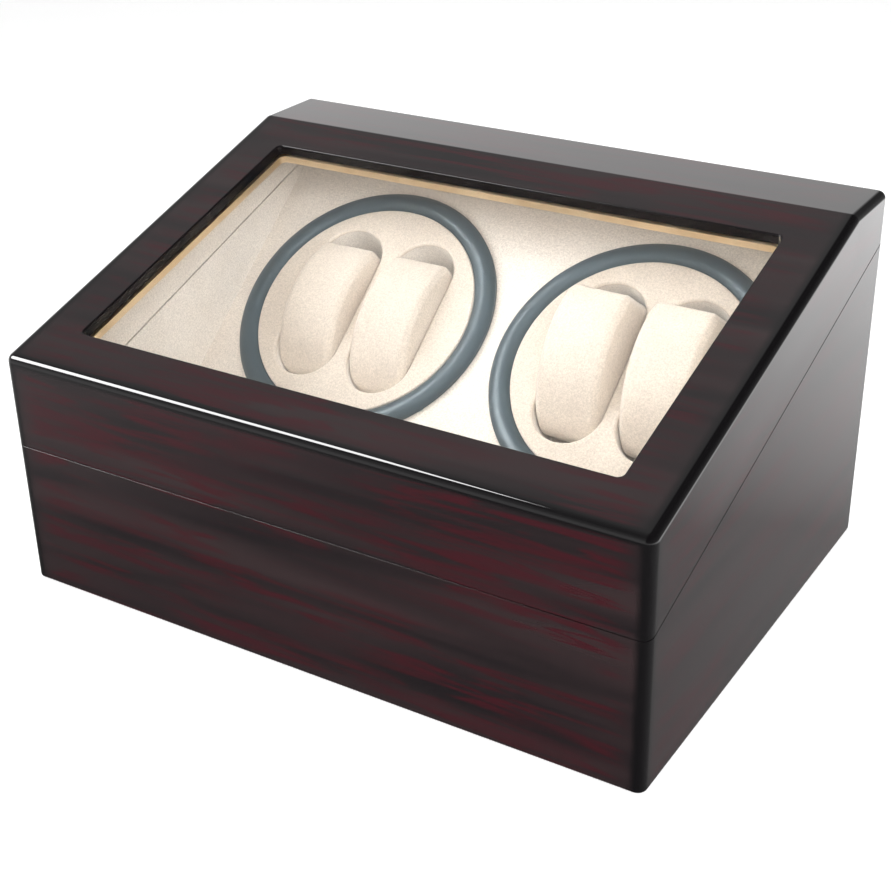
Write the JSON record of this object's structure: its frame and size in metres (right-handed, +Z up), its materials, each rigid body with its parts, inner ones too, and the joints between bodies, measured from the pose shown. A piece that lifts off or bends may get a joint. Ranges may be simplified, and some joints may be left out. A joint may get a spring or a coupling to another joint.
{
  "type": "watch winder box",
  "caption": "Wedge-shaped lacquered box with a windowed back-hinged lid, motor-driven cushioned turntables on a raked deck and a row of storage cushions in front.",
  "frame": {"origin": "centre of the box's footprint, on the surface it stands on", "axes": "+X across the box to the right as the user faces it, +Y to the hinged back, +Z up"},
  "size_m": [0.335, 0.2554, 0.184],
  "materials": {
    "lacquer": "high-gloss dark lacquer over a fine streaked grain, near black with crimson streaks",
    "raw_board": "raw fibreboard",
    "felt": "thin black felt",
    "velvet_lining": "cream velvet on thin card",
    "velvet_board": "thin board covered with cream velvet",
    "flocked_plastic": "moulded plastic flocked in cream",
    "cushion_velvet": "soft cream velvet over foam",
    "gunmetal": "satin blue-grey metallised",
    "clear_pane": "clear polished",
    "gold_trim": "satin gold",
    "steel": "zinc-plated",
    "brass": "polished",
    "gear_plastic": "moulded acetal",
    "belt_rubber": "smooth black rubber",
    "black_plastic": "fine-textured black",
    "red_plastic": "glossy red",
    "circuit_board": "green solder mask",
    "lead_rubber": "smooth red insulation"
  },
  "bodies": {
    "case": {"case_walls": "lacquer", "base_board": "raw_board", "base_felt": "felt", "lining_front": "velvet_lining", "lining_sides": "velvet_lining", "lining_back": "velvet_lining", "storage_tray": "velvet_board", "storage_dividers": "velvet_board", "winder_deck": "velvet_board", "deck_battens": "raw_board", "drive_plates": "steel", "standoffs": "steel", "deck_screws": "steel", "plate_screws": "steel", "shaft_bushes": "brass", "gear_arbors": "steel", "gear_motors": "steel", "drive_belts": "belt_rubber", "control_plate": "black_plastic", "control_board": "circuit_board", "dc_jack": "black_plastic", "switch_bodies": "black_plastic", "motor_leads": "lead_rubber", "hinge_leaves_case": "brass", "hinge_pins": "steel", "hinge_screws_case": "brass"},
    "lid": {"lid_shell": "lacquer", "window_pane": "clear_pane", "window_trim": "gold_trim", "lid_lining_top": "velvet_lining", "lid_lining_walls": "velvet_lining", "hinge_leaves_lid": "brass", "hinge_screws_lid": "brass"},
    "turntable_left": {"carrier_left": "flocked_plastic", "disc_left": "velvet_board", "bezel_ring_left": "gunmetal", "spin_shaft_left": "steel", "output_gear_left": "brass"},
    "reducer_left": {"reduction_wheel_left": "gear_plastic"},
    "motor_rotor_left": {"motor_pulley_left": "brass"},
    "cushion_left_a": {"cushion_left_a": "cushion_velvet"},
    "cushion_left_b": {"cushion_left_b": "cushion_velvet"},
    "turntable_right": {"carrier_right": "flocked_plastic", "disc_right": "velvet_board", "bezel_ring_right": "gunmetal", "spin_shaft_right": "steel", "output_gear_right": "brass"},
    "reducer_right": {"reduction_wheel_right": "gear_plastic"},
    "motor_rotor_right": {"motor_pulley_right": "brass"},
    "cushion_right_a": {"cushion_right_a": "cushion_velvet"},
    "cushion_right_b": {"cushion_right_b": "cushion_velvet"},
    "store_cushion_1": {"store_cushion_1": "cushion_velvet"},
    "store_cushion_2": {"store_cushion_2": "cushion_velvet"},
    "store_cushion_3": {"store_cushion_3": "cushion_velvet"},
    "store_cushion_4": {"store_cushion_4": "cushion_velvet"},
    "store_cushion_5": {"store_cushion_5": "cushion_velvet"},
    "store_cushion_6": {"store_cushion_6": "cushion_velvet"},
    "rocker": {"power_rocker": "red_plastic"},
    "mode_knob_left": {"mode_knob_left": "black_plastic"},
    "mode_knob_right": {"mode_knob_right": "black_plastic"}
  },
  "joints": [
    {"name": "lid_hinge", "type": "hinge", "parent": "case", "child": "lid", "pos_m": [0, 0.1278, 0.1594], "axis": [-1, 0, 0], "range_deg": [0, 95]},
    {"name": "turntable_left_spin", "type": "hinge", "parent": "case", "child": "turntable_left", "pos_m": [-0.0775, 0.0441, 0.09935], "axis": [0, -0.6217, 0.7833], "continuous": true},
    {"name": "reducer_left_spin", "type": "hinge", "parent": "case", "child": "reducer_left", "pos_m": [-0.0775, 0.04357, 0.04211], "axis": [0, -0.6217, 0.7833], "continuous": true},
    {"name": "motor_left_spin", "type": "hinge", "parent": "case", "child": "motor_rotor_left", "pos_m": [-0.1155, 0.04357, 0.04211], "axis": [0, -0.6217, 0.7833], "continuous": true},
    {"name": "cushion_left_a_lift", "type": "slide", "parent": "turntable_left", "child": "cushion_left_a", "axis": [0, -0.6217, 0.7833], "range_m": [0, 0.03]},
    {"name": "cushion_left_b_lift", "type": "slide", "parent": "turntable_left", "child": "cushion_left_b", "axis": [0, -0.6217, 0.7833], "range_m": [0, 0.03]},
    {"name": "turntable_right_spin", "type": "hinge", "parent": "case", "child": "turntable_right", "pos_m": [0.0775, 0.0441, 0.09935], "axis": [0, -0.6217, 0.7833], "continuous": true},
    {"name": "reducer_right_spin", "type": "hinge", "parent": "case", "child": "reducer_right", "pos_m": [0.0775, 0.04357, 0.04211], "axis": [0, -0.6217, 0.7833], "continuous": true},
    {"name": "motor_right_spin", "type": "hinge", "parent": "case", "child": "motor_rotor_right", "pos_m": [0.1155, 0.04357, 0.04211], "axis": [0, -0.6217, 0.7833], "continuous": true},
    {"name": "cushion_right_a_lift", "type": "slide", "parent": "turntable_right", "child": "cushion_right_a", "axis": [0, -0.6217, 0.7833], "range_m": [0, 0.024]},
    {"name": "cushion_right_b_lift", "type": "slide", "parent": "turntable_right", "child": "cushion_right_b", "axis": [0, -0.6217, 0.7833], "range_m": [0, 0.024]},
    {"name": "store_cushion_1_lift", "type": "slide", "parent": "case", "child": "store_cushion_1", "axis": [0, 0, 1], "range_m": [0, 0.045]},
    {"name": "store_cushion_2_lift", "type": "slide", "parent": "case", "child": "store_cushion_2", "axis": [0, 0, 1], "range_m": [0, 0.045]},
    {"name": "store_cushion_3_lift", "type": "slide", "parent": "case", "child": "store_cushion_3", "axis": [0, 0, 1], "range_m": [0, 0.045]},
    {"name": "store_cushion_4_lift", "type": "slide", "parent": "case", "child": "store_cushion_4", "axis": [0, 0, 1], "range_m": [0, 0.045]},
    {"name": "store_cushion_5_lift", "type": "slide", "parent": "case", "child": "store_cushion_5", "axis": [0, 0, 1], "range_m": [0, 0.045]},
    {"name": "store_cushion_6_lift", "type": "slide", "parent": "case", "child": "store_cushion_6", "axis": [0, 0, 1], "range_m": [0, 0.045]},
    {"name": "power_rocker_tilt", "type": "hinge", "parent": "case", "child": "rocker", "pos_m": [-0.031, 0.1159, 0.034], "axis": [1, 0, 0], "range_deg": [0, 14]},
    {"name": "mode_knob_left_turn", "type": "hinge", "parent": "case", "child": "mode_knob_left", "pos_m": [-0.009, 0.1159, 0.034], "axis": [0, 1, 0], "range_deg": [0, 90]},
    {"name": "mode_knob_right_turn", "type": "hinge", "parent": "case", "child": "mode_knob_right", "pos_m": [0.009, 0.1159, 0.034], "axis": [0, 1, 0], "range_deg": [0, 90]}
  ],
  "couplings": [
    {"joint": "reducer_left_spin", "follows": "turntable_left_spin", "ratio": -5},
    {"joint": "motor_left_spin", "follows": "turntable_left_spin", "ratio": -22.015},
    {"joint": "reducer_right_spin", "follows": "turntable_right_spin", "ratio": -5},
    {"joint": "motor_right_spin", "follows": "turntable_right_spin", "ratio": -22.015}
  ]
}
